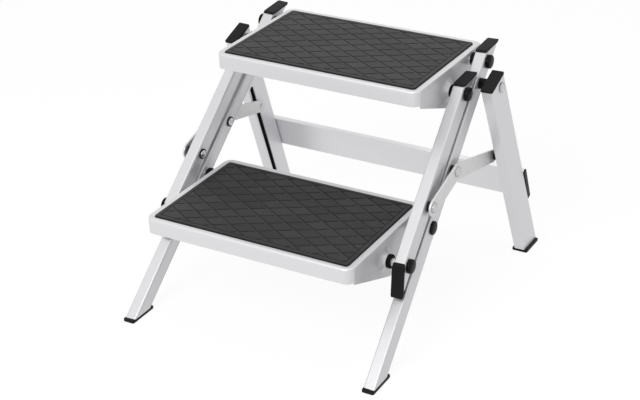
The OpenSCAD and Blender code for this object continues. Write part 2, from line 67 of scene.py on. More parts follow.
def joined(name, parts, caps=(), tones=None):
    """One closed mesh from several grids of points.

    Each part is an array of rows by columns by xyz in millimetres, with a flag
    that closes its columns into a loop; neighbouring points become quads. Each
    cap is one loop of points, filled as a single flat face. Points that meet are
    merged, and the faces are turned outwards. Tones, one number per point, are
    kept with the mesh for its material.
    """
    places, corners, sizes = [], [], []
    offset = 0
    for points, loop in parts:
        rows, columns = points.shape[:2]
        index = offset + np.arange(rows * columns).reshape(rows, columns)
        if loop:
            index = np.hstack([index, index[:, :1]])
        quads = np.stack([index[:-1, :-1], index[:-1, 1:], index[1:, 1:], index[1:, :-1]], -1)
        corners.append(quads.reshape(-1))
        sizes.append(np.full(quads.size // 4, 4))
        places.append(points.reshape(-1, 3))
        offset += rows * columns
    for points in caps:
        corners.append(offset + np.arange(len(points)))
        sizes.append(np.array([len(points)]))
        places.append(points)
        offset += len(points)
    places, corners, sizes = np.concatenate(places) * 0.001, np.concatenate(corners), np.concatenate(sizes)
    starts = np.concatenate([[0], np.cumsum(sizes)[:-1]])
    mesh = bpy.data.meshes.new(name)
    mesh.vertices.add(len(places))
    mesh.vertices.foreach_set("co", places.astype(np.float32).reshape(-1))
    mesh.loops.add(len(corners))
    mesh.loops.foreach_set("vertex_index", corners.astype(np.int32))
    mesh.polygons.add(len(sizes))
    mesh.polygons.foreach_set("loop_start", starts.astype(np.int32))
    mesh.update(calc_edges=True)
    if tones is not None:
        values = np.zeros(len(places), np.float32)
        values[:tones.size] = tones.reshape(-1)
        mesh.attributes.new("tone", "FLOAT", "POINT").data.foreach_set("value", values)
    work = bmesh.new()
    work.from_mesh(mesh)
    bmesh.ops.remove_doubles(work, verts=work.verts, dist=2e-6)
    bmesh.ops.dissolve_degenerate(work, dist=1e-7, edges=work.edges)
    bmesh.ops.recalc_face_normals(work, faces=work.faces)
    work.to_mesh(mesh)
    work.free()
    return mesh


def piece(name, mesh, body, material, replaces=(), sharp=35):
    """A mesh as a finished object: smooth up to an angle, dressed, and riding on a body."""
    thing = bpy.data.objects.new(name, mesh)
    bpy.context.scene.collection.objects.link(thing)
    mesh.materials.append(material)
    mesh.polygons.foreach_set("use_smooth", np.ones(len(mesh.polygons), bool))
    mesh.set_sharp_from_angle(angle=math.radians(sharp))
    if replaces:
        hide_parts(*replaces)
    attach(thing, body)


def finish_of(name, color, metallic=0.0, roughness=0.5, grain=(1, 1, 1), grain_scale=400.0,
              bump=0.05, spread=0.06, tint=0.05, turn=(0, 0, 0), clouds=30.0, specular=0.5):
    """A procedural surface.

    Fine noise, stretched along one direction by grain, moves the roughness by
    spread and raises a bump; broad soft clouds darken the colour by tint.
    """
    material = bpy.data.materials.new(name)
    material.use_nodes = True
    nodes, links = material.node_tree.nodes, material.node_tree.links
    shader = nodes["Principled BSDF"]
    shader.inputs["Metallic"].default_value = metallic
    shader.inputs["Specular IOR Level"].default_value = specular
    where = nodes.new("ShaderNodeTexCoord")
    place = nodes.new("ShaderNodeMapping")
    place.vector_type = "TEXTURE"
    place.inputs["Rotation"].default_value = [math.radians(angle) for angle in turn]
    place.inputs["Scale"].default_value = grain
    links.new(where.outputs["Object"], place.inputs["Vector"])
    fine = nodes.new("ShaderNodeTexNoise")
    fine.inputs["Scale"].default_value = grain_scale
    fine.inputs["Detail"].default_value = 5
    links.new(place.outputs["Vector"], fine.inputs["Vector"])
    broad = nodes.new("ShaderNodeTexNoise")
    broad.inputs["Scale"].default_value = clouds
    broad.inputs["Detail"].default_value = 3
    links.new(where.outputs["Object"], broad.inputs["Vector"])
    rough = nodes.new("ShaderNodeMapRange")
    rough.inputs["To Min"].default_value = max(roughness - spread, 0.02)
    rough.inputs["To Max"].default_value = roughness + spread
    links.new(fine.outputs["Fac"], rough.inputs["Value"])
    links.new(rough.outputs["Result"], shader.inputs["Roughness"])
    shade = nodes.new("ShaderNodeMix")
    shade.data_type = "RGBA"
    shade.inputs["A"].default_value = (*color, 1)
    shade.inputs["B"].default_value = (*[c * (1 - tint) for c in color], 1)
    links.new(broad.outputs["Fac"], shade.inputs["Factor"])
    links.new(shade.outputs["Result"], shader.inputs["Base Color"])
    relief = nodes.new("ShaderNodeBump")
    relief.inputs["Strength"].default_value = bump
    relief.inputs["Distance"].default_value = 0.0004
    links.new(fine.outputs["Fac"], relief.inputs["Height"])
    links.new(relief.outputs["Normal"], shader.inputs["Normal"])
    return material


def mat_points():
    """The mat's top as a grid, and each point's distance from the edge.

    A square grid whose corner zones are drawn in to arcs. Its height is the flat
    top, lowered by a smooth bevel along the edge, by V grooves on two families of
    slanting lines, and by one groove that follows the border.
    """
    wide = np.linspace(-MAT_HALF, MAT_HALF, 375)
    deep = np.linspace(0, MAT_DEPTH, 235)
    x, y = np.meshgrid(wide, deep)
    mid = MAT_DEPTH / 2
    dx = np.maximum(np.abs(x) - (MAT_HALF - MAT_CORNER), 0)
    dy = np.maximum(np.abs(y - mid) - (mid - MAT_CORNER), 0)
    both = (dx > 0) & (dy > 0)
    pull = np.where(both, np.maximum(dx, dy) / np.maximum(np.hypot(dx, dy), 1e-9), 1)
    x = np.where(both, np.sign(x) * (MAT_HALF - MAT_CORNER + dx * pull), x)
    y = np.where(both, mid + np.sign(y - mid) * (mid - MAT_CORNER + dy * pull), y)
    dx, dy = np.abs(x) - (MAT_HALF - MAT_CORNER), np.abs(y - mid) - (mid - MAT_CORNER)
    edge = MAT_CORNER - np.where((dx > 0) & (dy > 0), np.hypot(dx, dy), np.maximum(dx, dy))
    y = y + MAT_START
    slope = DIAMOND_DEEP / DIAMOND_WIDE
    lean = math.cos(math.atan(slope))
    first, second = [(y - DIAMOND_PHASE + side * slope * x) / DIAMOND_DEEP for side in (1, -1)]
    groove = np.zeros_like(x)
    for along, gate in ((first, 1), (second, np.mod(first, 1) < SHORT_LINE)):
        off = np.abs(along - np.round(along)) * DIAMOND_DEEP * lean
        groove = np.maximum(groove, (1 - off / GROOVE_HALF) * gate)
    groove = np.where(edge > BORDER, groove, 0)
    groove = np.maximum(groove, 1 - np.abs(edge - BORDER) / GROOVE_HALF)
    fall = np.clip(edge / BEVEL, 0, 1)
    z = MAT_TOP - BEVEL_DEEP * (1 - fall * (2 - fall)) - GROOVE_DEEP * np.clip(groove, 0, 1)
    return np.stack([x, y, z], -1), edge


def loop_of(grid):
    """The outer loop of a grid of points."""
    return np.concatenate([grid[0, :-1], grid[:-1, -1], grid[-1, :0:-1], grid[:0:-1, 0]])


rubber = finish_of("mat_rubber", (0.034, 0.034, 0.035), roughness=0.55, grain_scale=700, bump=0.3,
                   spread=0.08, tint=0.2, clouds=18, specular=0.25)
nodes, links = rubber.node_tree.nodes, rubber.node_tree.links


def number(kind, *values):
    """A Math node of numbers or sockets; its result is returned."""
    node = nodes.new("ShaderNodeMath")
    node.operation = kind
    for k, value in enumerate(values):
        if isinstance(value, (int, float)):
            node.inputs[k].default_value = value
        else:
            links.new(value, node.inputs[k])
    return node.outputs["Value"]


def ramp(value, low, high, at_low, at_high):
    """A Map Range node: at_low up to low, at_high from high on, and a straight change between them."""
    node = nodes.new("ShaderNodeMapRange")
    links.new(value, node.inputs["Value"])
    for word, limit in (("From Min", low), ("From Max", high), ("To Min", at_low), ("To Max", at_high)):
        node.inputs[word].default_value = limit
    return node.outputs["Result"]


# The mat's colour: the diamond grooves and the border groove are painted dark as painted shade in the grooves. The up
# lines are drawn wider as painted shade on their slope. Each diamond's tone differs at random.
flat_place = nodes.new("ShaderNodeUVMap")
flat_place.uv_map = "flat"
split = nodes.new("ShaderNodeSeparateXYZ")
links.new(flat_place.outputs["UV"], split.inputs["Vector"])
rise = number("MULTIPLY", split.outputs["X"], 1 / DIAMOND_WIDE)
run = number("MULTIPLY", number("SUBTRACT", split.outputs["Y"], DIAMOND_PHASE), 1 / DIAMOND_DEEP)
down_line, up_line = number("ADD", run, rise), number("SUBTRACT", run, rise)
thin = ramp(number("PINGPONG", down_line, 0.5), 0.022, 0.055, 1.0, 0.0)
thick = ramp(number("PINGPONG", up_line, 0.5), 0.042, 0.075, 1.0, 0.0)
gate = ramp(number("FRACT", down_line), 0.79, 0.85, 1.0, 0.0)
edge_node = nodes.new("ShaderNodeAttribute")
edge_node.attribute_name = "tone"
from_edge = edge_node.outputs["Fac"]
inside = number("GREATER_THAN", from_edge, BORDER)
border_line = ramp(number("ABSOLUTE", number("SUBTRACT", from_edge, BORDER)), 0.4, 1.0, 1.0, 0.0)
lines = number("MULTIPLY", number("MAXIMUM", thin, number("MULTIPLY", thick, gate)), inside)
lines = number("MAXIMUM", lines, border_line)
cell = nodes.new("ShaderNodeCombineXYZ")
links.new(number("FLOOR", down_line), cell.inputs["X"])
links.new(number("FLOOR", up_line), cell.inputs["Y"])
chance = nodes.new("ShaderNodeTexWhiteNoise")
links.new(cell.outputs["Vector"], chance.inputs["Vector"])
shader = nodes["Principled BSDF"]
tone_and_painted_shade = nodes.new("ShaderNodeMix")
tone_and_painted_shade.data_type = "RGBA"
tone_and_painted_shade.blend_type = "MULTIPLY"
tone_and_painted_shade.inputs["Factor"].default_value = 1
links.new(shader.inputs["Base Color"].links[0].from_socket, tone_and_painted_shade.inputs["A"])
share = number("MULTIPLY", ramp(lines, 0.0, 1.0, 1.0, 0.12), ramp(chance.outputs["Value"], 0.0, 1.0, 0.82, 1.30))
# Painted shade: the outermost band along the mat's edge is darkened, standing for the shade between the mat and the
# rim.
share = number("MULTIPLY", share, ramp(from_edge, 0.5, 1.7, 0.15, 1.0))
links.new(share, tone_and_painted_shade.inputs["B"])
links.new(tone_and_painted_shade.outputs["Result"], shader.inputs["Base Color"])
cut = nodes.new("ShaderNodeBump")
cut.inputs["Strength"].default_value = 0.5
cut.inputs["Distance"].default_value = 0.0006
cut.invert = True
links.new(lines, cut.inputs["Height"])
links.new(nodes["Bump"].outputs["Normal"], cut.inputs["Normal"])
links.new(cut.outputs["Normal"], shader.inputs["Normal"])

# Pivots are placed by their run along the leg, in mm from its toe, and by how far
# they lie behind its front face. A rail's pivots lie before that face, and lower.
LEG_TOE, LEG_LEAN = -269.4, math.radians(47.8)
LEG_MIDDLE, RAIL_MIDDLE = 14.0, -23.0
LOWER_RUN, TREAD_PITCH, RAIL_TRAIL = 273.0, 288.5, 77.0
LINK_RUN, REAR_PIVOT_RUN = 370.0, 522.0
PIVOT_SETBACK, PIVOT_DROP = 191.5, 13.6


def pivot(run, offset):
    """A point in a side view, in mm, from its distance along the leg and behind its front face."""
    return np.array([LEG_TOE + run * math.sin(LEG_LEAN) + offset * math.cos(LEG_LEAN),
                     run * math.cos(LEG_LEAN) - offset * math.sin(LEG_LEAN)])


LOWER_LEG, UPPER_LEG = [pivot(run, LEG_MIDDLE) for run in (LOWER_RUN, LOWER_RUN + TREAD_PITCH)]
LOWER_RAIL, UPPER_RAIL = [pivot(run - RAIL_TRAIL, RAIL_MIDDLE) for run in (LOWER_RUN, LOWER_RUN + TREAD_PITCH)]
LEG_LINK, RAIL_LINK = pivot(LINK_RUN, LEG_MIDDLE), pivot(LINK_RUN - RAIL_TRAIL, RAIL_MIDDLE)
REAR_PIVOT = pivot(REAR_PIVOT_RUN, LEG_MIDDLE)

for level, at in (("upper", UPPER_LEG), ("lower", LOWER_LEG)):
    shift = np.array([0, at[0] - PIVOT_SETBACK, at[1] + PIVOT_DROP])
    points, edge = mat_points()
    top = points + shift
    rim = loop_of(top)
    foot = rim.copy()
    foot[:, 2] = MAT_BOTTOM + shift[2]
    mesh = joined(f"{level}_mat_skin", [(top, False), (np.stack([rim, foot]), True)], [foot], edge)
    corner = np.zeros(len(mesh.loops), np.int32)
    mesh.loops.foreach_get("vertex_index", corner)
    place = np.zeros(len(mesh.vertices) * 3, np.float32)
    mesh.vertices.foreach_get("co", place)
    flat = place.reshape(-1, 3)[corner, :2] * 1000 - shift[:2]
    mesh.uv_layers.new(name="flat").data.foreach_set("uv", flat.astype(np.float32).reshape(-1))
    piece(f"{level}_mat_rubber", mesh, f"{level}_tread", rubber, [f"{level}_mat"], sharp=50)

# The two treads.
# Trays pressed from light alloy sheet and coated pale grey: a rounded rim round
# the mat, a front face that wraps the corners, and side plates for the pivots.
TREAD_HALF, TREAD_DEPTH, TREAD_FACE = 180.0, 234.0, 25.0
TREAD_CORNER, TREAD_EDGE, SIDE_EDGE, SHEET = 14.0, 3.5, 1.2, 1.8
POCKET_HALF, POCKET_FRONT, POCKET_REAR = 170.0, 9.0, 220.4
SIDE_FACE, WRAP_END, UNDERSIDE = 3.2, 10.4, -3.0
MIDDLE_PATCH = (60, 100, 130, 5)
PLATE_X = 176.5
LIP_HALF, LIP_DEEP, LIP_HANG = 158.0, 9.0, 0.7


def ring(half, front, rear, radius, across=64, along=60, arc=12):
    """A rounded rectangle as a loop: four straight runs joined by quarter circles."""
    radius = max(radius, 0.05)
    turn = np.linspace(0, math.pi / 2, arc, endpoint=False)
    out = []
    for x, y, start in ((half - radius, front + radius, -math.pi / 2), (half - radius, rear - radius, 0),
                        (-half + radius, rear - radius, math.pi / 2), (-half + radius, front + radius, math.pi)):
        out.append(np.stack([x + radius * np.cos(turn + start), y + radius * np.sin(turn + start)], -1))
    loop = []
    for k, count in enumerate((along, across, along, across)):
        x, y = out[k][0]
        end_turn = -math.pi / 2 + (k + 1) * math.pi / 2
        centre = out[k][0] - radius * np.array([math.cos(end_turn - math.pi / 2), math.sin(end_turn - math.pi / 2)])
        end = centre + radius * np.array([math.cos(end_turn), math.sin(end_turn)])
        step = np.linspace(0, 1, count, endpoint=False)[:, None]
        loop += [out[k], end + (out[(k + 1) % 4][0] - end) * step]
    return np.concatenate(loop)


def tray():
    """The pressed tray: rings of a rounded rectangle, one for each point of the sheet's section.

    From under the mat the rings go up the pocket's wall, over the rim, round the
    top edge by a quarter circle, down the face, and back up its inner side. The
    face is deep in front, behind and round the corners, and shallow at the sides,
    where its top edge is also sharper.
    """
    patch = ring(*MIDDLE_PATCH)
    rows = [np.c_[patch, np.full(len(patch), MAT_BOTTOM)]]
    for grow, radius, height in ((-0.1, 5.0, MAT_BOTTOM), (0, 5.0, -1.9), (0, 5.0, -0.9), (0.25, 5.3, -0.35),
                                 (0.8, 5.8, -0.06), (1.6, 6.6, 0.0)):
        wall = ring(POCKET_HALF + grow, POCKET_FRONT - grow, POCKET_REAR + grow, radius)
        rows.append(np.c_[wall, np.full(len(wall), height)])
    loop = ring(TREAD_HALF, 0, TREAD_DEPTH, TREAD_CORNER)
    near = np.minimum(loop[:, 1], TREAD_DEPTH - loop[:, 1])
    beside = np.clip(near / TREAD_CORNER, 0, 1)[:, None]
    for turn in np.linspace(0, math.pi / 2, 10):
        kinds = []
        for edge in (TREAD_EDGE, SIDE_EDGE):
            inset = edge * (1 - math.sin(turn))
            flat = ring(TREAD_HALF - inset, inset, TREAD_DEPTH - inset, TREAD_CORNER - inset)
            kinds.append(np.c_[flat, np.full(len(flat), -edge * (1 - math.cos(turn)))])
        rows.append(kinds[0] * (1 - beside) + kinds[1] * beside)
    rounded_to = rows[-1][:, 2]
    reach = np.where(near < WRAP_END, TREAD_FACE, SIDE_FACE)
    inner = ring(TREAD_HALF - SHEET, SHEET, TREAD_DEPTH - SHEET, TREAD_CORNER - SHEET)
    for share in np.linspace(0, 1, 7)[1:]:
        rows.append(np.c_[loop, rounded_to * (1 - share) - reach * share])
    rows += [np.c_[inner, -reach], np.c_[inner, np.full(len(inner), UNDERSIDE)],
             np.c_[patch, np.full(len(patch), UNDERSIDE)]]
    grid = np.stack(rows)
    return [(grid, True)], [grid[0], grid[-1]]


def softened(points, radii, arc=8):
    """An outline whose corners are replaced by arcs of the given radii."""
    out = []
    count = len(points)
    for k in range(count):
        here, before, after = points[k], points[k - 1], points[(k + 1) % count]
        a, b = (before - here) / np.linalg.norm(before - here), (after - here) / np.linalg.norm(after - here)
        half = math.acos(np.clip(a @ b, -1, 1)) / 2
        if radii[k] <= 0:
            out.append(here[None])
            continue
        reach = radii[k] / math.tan(half)
        centre = here + (a + b) / np.linalg.norm(a + b) * radii[k] / math.sin(half)
        start, end = here + a * reach - centre, here + b * reach - centre
        first = math.atan2(start[1], start[0])
        sweep = (math.atan2(end[1], end[0]) - first + math.pi) % (2 * math.pi) - math.pi
        turn = first + np.linspace(0, 1, arc) * sweep
        out.append(centre + radii[k] * np.stack([np.cos(turn), np.sin(turn)], -1))
    return np.concatenate(out)


def plate(outline, x0, x1, edge=0.4):
    """A flat plate across X: its outline in y and z, drawn in by a small rounding at both faces.

    One more ring lies inside the rim of each face and keeps its shading even.
    """
    ahead = np.roll(outline, -1, 0) - np.roll(outline, 1, 0)
    normal = np.stack([ahead[:, 1], -ahead[:, 0]], -1) / np.linalg.norm(ahead, axis=1)[:, None]
    area = np.sum(outline[:, 0] * np.roll(outline[:, 1], -1) - np.roll(outline[:, 0], -1) * outline[:, 1])
    normal *= 1 if area > 0 else -1
    rows = []
    rim = ((0, edge + 0.25), (0, edge), (edge * 0.3, edge * 0.3), (edge, 0))
    for x, inset in [(x0 + deep, i) for deep, i in rim] + [(x1 - deep, i) for deep, i in rim[::-1]]:
        loop = outline - normal * inset
        rows.append(np.c_[np.full(len(loop), x), loop])
    grid = np.stack(rows)
    return (grid, True), [grid[0], grid[-1]]


def turned(items, count=56):
    """Round pieces along X: each profile of x and radius is swept round its axis point, and its ends are closed."""
    angle = np.linspace(0, 2 * math.pi, count, endpoint=False)
    parts, caps = [], []
    for side, point, profile in items:
        profile = np.array(profile, float)
        x, r = profile[:, :1], profile[:, 1:]
        grid = np.stack([side * x + 0 * angle, point[0] + r * np.cos(angle), point[1] + r * np.sin(angle)], -1)
        parts.append((grid, True))
        caps += [grid[0], grid[-1]]
    return parts, caps


PLATE_OUTLINE = softened(np.array([[8, -3], [8, -22], [17.3, -22], [17.3, -32.9], [128, -75.9], [146, -75],
                                   [231.7, -28], [231.7, -3]], float), [0, 1, 0, 1.5, 9, 9, 4, 0])
SMALL_BOSS = [(PLATE_X - SHEET - 0.2, 9.0), (PLATE_X + 0.2, 9.0), (PLATE_X + 1.5, 8.6), (180.8, 8.2)]
WIDE_BOSS = [(PLATE_X - SHEET - 0.2, 21), (PLATE_X - 0.1, 20.5), (PLATE_X + 0.6, 18), (PLATE_X + 2.4, 14.5),
             (PLATE_X + 4.8, 11.4), (183.0, 10.4)]
coated = finish_of("tread_coating", (0.80, 0.80, 0.815), metallic=0.25, roughness=0.34, grain_scale=900, bump=0.06,
                   spread=0.04, tint=0.03, clouds=9)
for level, leg_at, rail_at in (("upper", UPPER_LEG, UPPER_RAIL), ("lower", LOWER_LEG, LOWER_RAIL)):
    shift = np.array([0, leg_at[0] - PIVOT_SETBACK, leg_at[1] + PIVOT_DROP])
    parts, caps = tray()
    for x0, x1 in ((PLATE_X - SHEET, PLATE_X), (-PLATE_X, -PLATE_X + SHEET)):
        part, ends = plate(PLATE_OUTLINE, x0, x1)
        parts.append(part)
        caps += ends
    for y in (LIP_HANG, TREAD_DEPTH - LIP_HANG - LIP_DEEP):
        strip = np.array([[y, -LIP_HANG], [y + LIP_DEEP, -LIP_HANG], [y + LIP_DEEP, SHEET], [y, SHEET]])
        part, ends = plate(softened(strip - [0, TREAD_FACE], [0.8] * 4, 4), -LIP_HALF, LIP_HALF)
        parts.append(part)
        caps += ends
    parts, caps = [(p + shift, loop) for p, loop in parts], [c + shift for c in caps]
    for side in (-1, 1):
        bosses, ends = turned([(side, leg_at, SMALL_BOSS), (side, rail_at, WIDE_BOSS)])
        parts += bosses
        caps += ends
    mesh = joined(f"{level}_tread_skin", parts, caps)
    piece(f"{level}_tread_tray", mesh, f"{level}_tread", coated, [f"{level}_tread"], sharp=40)

# The rear legs, and the bolts, pins, spacers and washers of the frame.
# The legs are anodised extrusions cut to length, with fine grooves along their
# sides and the drawn grain along each one. Bolts and pins are zinc-plated steel,
# spacers and washers moulded black. They keep the solids of the frame.
anodised = {"metallic": 0.6, "grain_scale": 900, "bump": 0.10, "spread": 0.05, "tint": 0.05}
# One anodised alloy in three copies: the rear legs' copy is paler than the front legs', and the crossbar's is paler
# still. This is painted light that brightens the parts standing behind the treads in their shade.
leg_metal = finish_of("leg_anodised", (0.69, 0.69, 0.71), roughness=0.38, grain=(1, 1, 25), turn=(-47.8, 0, 0),
                      **anodised)
rear_painted_light_metal = finish_of("rear_leg_anodised_painted_light", (0.76, 0.76, 0.78), roughness=0.38, grain=(1, 1, 25), turn=(20.75, 0, 0),
                       **anodised)
bar_painted_light_metal = finish_of("crossbar_anodised_painted_light", (0.84, 0.84, 0.86), roughness=0.40, grain=(25, 1, 1), **anodised)
steel = finish_of("zinc_plated_steel", (0.60, 0.60, 0.61), metallic=0.85, roughness=0.24, grain_scale=700,
                  bump=0.10, spread=0.06, tint=0.10, clouds=120)
black = finish_of("moulded_black", (0.010, 0.009, 0.0095), roughness=0.45, grain_scale=1500, bump=0.3, spread=0.07,
                  tint=0.15, clouds=60, specular=0.15)


def dress(names, material):
    """Nodes that keep the frame's shape get a surface."""
    for name in names:
        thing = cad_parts[name]
        thing.data.materials.clear()
        thing.data.materials.append(material)


SIDES = ((-1, "left"), (1, "right"))
# The rear legs take their paler anodised copy, which is painted light.
for _, word in SIDES:
    dress([f"rear_leg_{word}"], rear_painted_light_metal)
    dress([f"slide_pin_{word}", f"rail_pivot_bolts_{word}"], steel)
    dress([f"rail_link_spacer_{word}", f"rail_link_washer_{word}"], black)
dress(["crossbar_rivets", "leg_pivot_bolts"], steel)
dress(["leg_link_spacers", "leg_link_washers"], black)

TUBE, LEG_INNER, REAR_INNER = 19.0, 205.3, 236.8
LEG_SPLAY, REAR_SPLAY = math.radians(2.64), math.radians(1.74)
REAR_LEAN, REAR_TOE = math.radians(20.75), 220.0


def on_tube(points, toe, lean, splay, inner, side):
    """Points given across a tube, behind its front face and along it, put where the tube stands.

    The tube leans by one angle in the side view, then tips inwards by its splay
    about the line of its inner face on the floor, and is mirrored for the left.
    """
    x, y, z = points[..., 0], points[..., 1], points[..., 2]
    y, z = toe + y * math.cos(lean) + z * math.sin(lean), z * math.cos(lean) - y * math.sin(lean)
    x, z = inner + x * math.cos(splay) - z * math.sin(splay), x * math.sin(splay) + z * math.cos(splay)
    return np.stack([side * x, y, z], -1)


def on_front(points, side):
    """Points of a front leg or rail."""
    return on_tube(points, LEG_TOE, LEG_LEAN, LEG_SPLAY, LEG_INNER, side)


def on_rear(points, side):
    """Points of a rear leg."""
    return on_tube(points, REAR_TOE, -REAR_LEAN, REAR_SPLAY, REAR_INNER, side)


# The front legs and the front rails.
# Tubes drawn with rounded edges and a fine line beside each edge, sawn aslant at
# the top; the rails are sawn aslant at their lower ends too.
TOP_RAKE, END_RAKE = math.radians(38), math.radians(36.3)
TOP_SLOPE, END_SLOPE = 1 / math.tan(TOP_RAKE), 1 / math.tan(END_RAKE)
LEG_DEPTH, RAIL_FRONT, TUBE_EDGE, TUBE_FLAT = 28.0, -37.0, 2.2, 2.5
LINE_IN, LINE_HALF, LINE_DEEP = 3.4, 0.6, 0.5
LEG_LOW, LEG_TOP, RAIL_TOP, RAIL_END = 4.0, 568.4, {-1: 487.0, 1: 488.8}, 192.0


def tube(front, low, high, side):
    """A closed tube of a leg or rail.

    Its outline is carried from a low to a high cut, each given as a height at an
    offset behind the leg's front face. The points just inside the rounded edges
    keep the flat faces flat in the light.
    """
    w, d, flat = TUBE, LEG_DEPTH, TUBE_FLAT
    nick = [(w, LINE_IN - LINE_HALF), (w - LINE_DEEP, LINE_IN), (w, LINE_IN + LINE_HALF),
            (w, d - LINE_IN - LINE_HALF), (w - LINE_DEEP, d - LINE_IN), (w, d - LINE_IN + LINE_HALF)]
    back_nick = [(w - x, y) for x, y in nick[::-1]]
    outline = [(0, 0), (flat, 0), (w - flat, 0), (w, 0)] + nick + [(w, d), (w - flat, d), (flat, d), (0, d)] + back_nick
    radii = ([TUBE_EDGE, 0, 0, TUBE_EDGE] + [0] * 6) * 2
    outline = softened(np.array(outline, float), radii, 6) + [0, front]
    share = np.linspace(0, 1, 5)[:, None]
    along = low(outline[:, 1]) * (1 - share) + high(outline[:, 1]) * share
    grid = np.stack([outline[:, 0] + 0 * along, outline[:, 1] + 0 * along, along], -1)
    grid = on_front(grid, side)
    return (grid, True), [grid[0], grid[-1]]


for side, word in SIDES:
    part, caps = tube(0, lambda y: (LEG_LOW + y * math.sin(LEG_LEAN)) / math.cos(LEG_LEAN),
                      lambda y: LEG_TOP + y * TOP_SLOPE, side)
    piece(f"front_leg_tube_{word}", joined(f"front_leg_skin_{word}", [part], caps), "front_frame", leg_metal,
          [f"front_leg_{word}"], sharp=28)
    part, caps = tube(RAIL_FRONT, lambda y: RAIL_END - (y - RAIL_FRONT) * END_SLOPE,
                      lambda y: RAIL_TOP[side] + (y - RAIL_FRONT) * TOP_SLOPE, side)
    piece(f"front_rail_tube_{word}", joined(f"front_rail_skin_{word}", [part], caps), f"front_rail_{word}", leg_metal,
          [f"front_rail_{word}"], sharp=28)

# The crossbar.
# A flat anodised profile across the rear faces of the rear legs, riveted at both
# ends and closed by black plastic caps.
BAR_RUN, BAR_HIGH, BAR_THICK, BAR_CAP = 83.5, 63.3, 9.0, 2.5
BAR_EDGE, BAR_FLAT, BAR_GAP = 1.2, 1.6, 0.25
REAR_DEPTH = 48.5


def on_bar(points):
    """Points of the crossbar: across, behind the rear legs' rear faces, and along them."""
    x, y, z = points[..., 0], points[..., 1] + REAR_DEPTH + BAR_GAP, points[..., 2] + BAR_RUN
    return np.stack([x, REAR_TOE + y * math.cos(REAR_LEAN) - z * math.sin(REAR_LEAN),
                     y * math.sin(REAR_LEAN) + z * math.cos(REAR_LEAN)], -1)


section = [(0, 0)] + [(BAR_THICK, z) for z in (0, BAR_FLAT, BAR_HIGH - BAR_FLAT, BAR_HIGH)] + \
    [(0, z) for z in (BAR_HIGH, BAR_HIGH - BAR_FLAT, BAR_FLAT)]
section = softened(np.array(section, float), [BAR_EDGE, BAR_EDGE, 0, 0] * 2, 5)
bar_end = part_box("crossbar")[1][0] * 1000
part, ends = plate(section, -bar_end, bar_end, 0.3)
mesh = joined("crossbar_skin", [(on_bar(part[0]), True)], [on_bar(e) for e in ends])
# The crossbar's pale copy of the anodised alloy is painted light.
piece("crossbar_profile", mesh, "rear_frame", bar_painted_light_metal, ["crossbar"], sharp=40)
parts, caps = [], []
for side in (-1, 1):
    x0, x1 = sorted((side * (bar_end + 0.02), side * (bar_end + BAR_CAP)))
    part, ends = plate(section, x0, x1, 0.6)
    parts.append((on_bar(part[0]), True))
    caps += [on_bar(e) for e in ends]
piece("crossbar_cap_pair", joined("crossbar_caps_skin", parts, caps), "rear_frame", black,
      ["crossbar_end_caps"])

# The end caps of the legs and rails.
# Black moulded lids with rolled edges and fine ribs, each held by a plug inside
# its tube; the front ones are cut aslant so that they lie level or upright. The
# rails' lower ones carry a small block that meets the leg.
CAP_LIP, LID, THIN_LID = 0.7, 4.0, 3.0
TOP_LID, END_LID = THIN_LID / math.sin(TOP_RAKE), LID / math.sin(END_RAKE)
REAR_TOP = 366.7
ribbed = finish_of("cap_ribbed_black", (0.010, 0.009, 0.0095), roughness=0.5, grain_scale=1800, bump=0.25, spread=0.06,
                   tint=0.1, clouds=80, specular=0.12)
nodes, links = ribbed.node_tree.nodes, ribbed.node_tree.links
ribs = nodes.new("ShaderNodeTexWave")
ribs.bands_direction = "Y"
ribs.inputs["Scale"].default_value = 190
ribs_where = nodes.new("ShaderNodeTexCoord")
links.new(ribs_where.outputs["Object"], ribs.inputs["Vector"])
rib_relief = nodes.new("ShaderNodeBump")
rib_relief.inputs["Strength"].default_value = 0.35
rib_relief.inputs["Distance"].default_value = 0.0005
links.new(ribs.outputs["Fac"], rib_relief.inputs["Height"])
links.new(nodes["Bump"].outputs["Normal"], rib_relief.inputs["Normal"])
links.new(rib_relief.outputs["Normal"], nodes["Principled BSDF"].inputs["Normal"])


def lid(depth, front, run, slope, lift, place, side, corner=2.0, edge=1.0):
    """A cap's lid on a cut across a tube.

    Rings of a rounded rectangle in the tube's section, each raised along the
    tube: the cut's height grows with the offset behind the front face by slope,
    and the last rings draw in by a quarter circle.
    """
    half = TUBE / 2 + CAP_LIP
    way = math.copysign(1, lift)
    steps = [(0.6, 0.0), (0, 0.3), (0, abs(lift) - edge)]
    for t in np.linspace(0, math.pi / 2, 7)[1:]:
        steps.append((edge * (1 - math.cos(t)), abs(lift) - edge + edge * math.sin(t)))
    rows = []
    for inset, rise in steps:
        loop = ring(half - inset, front - CAP_LIP + inset, front + depth + CAP_LIP - inset, corner - inset, 14, 26, 8)
        height = run + slope * (loop[:, 1] - front) + way * rise
        rows.append(np.c_[loop[:, 0] + TUBE / 2, loop[:, 1], height])
    grid = place(np.stack(rows), side)
    return (grid, True), [grid[0], grid[-1]]


